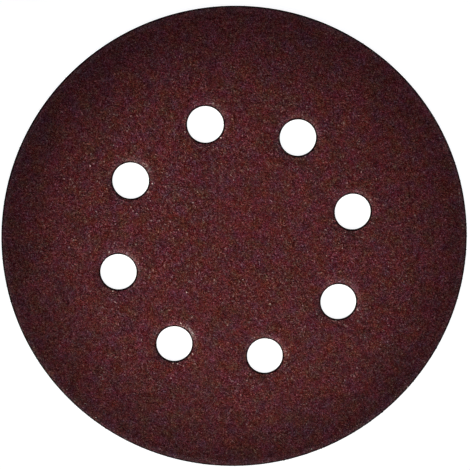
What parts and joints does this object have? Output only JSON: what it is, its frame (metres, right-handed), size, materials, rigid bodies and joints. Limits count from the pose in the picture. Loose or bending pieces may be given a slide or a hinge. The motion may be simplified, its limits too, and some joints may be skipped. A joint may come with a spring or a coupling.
{
  "type": "hook and loop sanding disc",
  "caption": "Round sanding disc with a reddish brown abrasive grain face, a paper backing, loop fabric underneath for a hook pad, and a ring of dust holes.",
  "frame": {"origin": "centre of the loop face, on the surface that the disc lies on", "axes": "+Z out of the abrasive face, along the disc's axis; +X through the centre of the first dust hole"},
  "size_m": [0.125, 0.125, 0.0014],
  "materials": {
    "abrasive_grain": "matte",
    "paper": "matte",
    "loop_pile": "matte"
  },
  "bodies": {
    "root": {"loop_fabric": "loop_pile", "paper_backing": "paper", "resin_grain_coat": "abrasive_grain"}
  },
  "joints": []
}
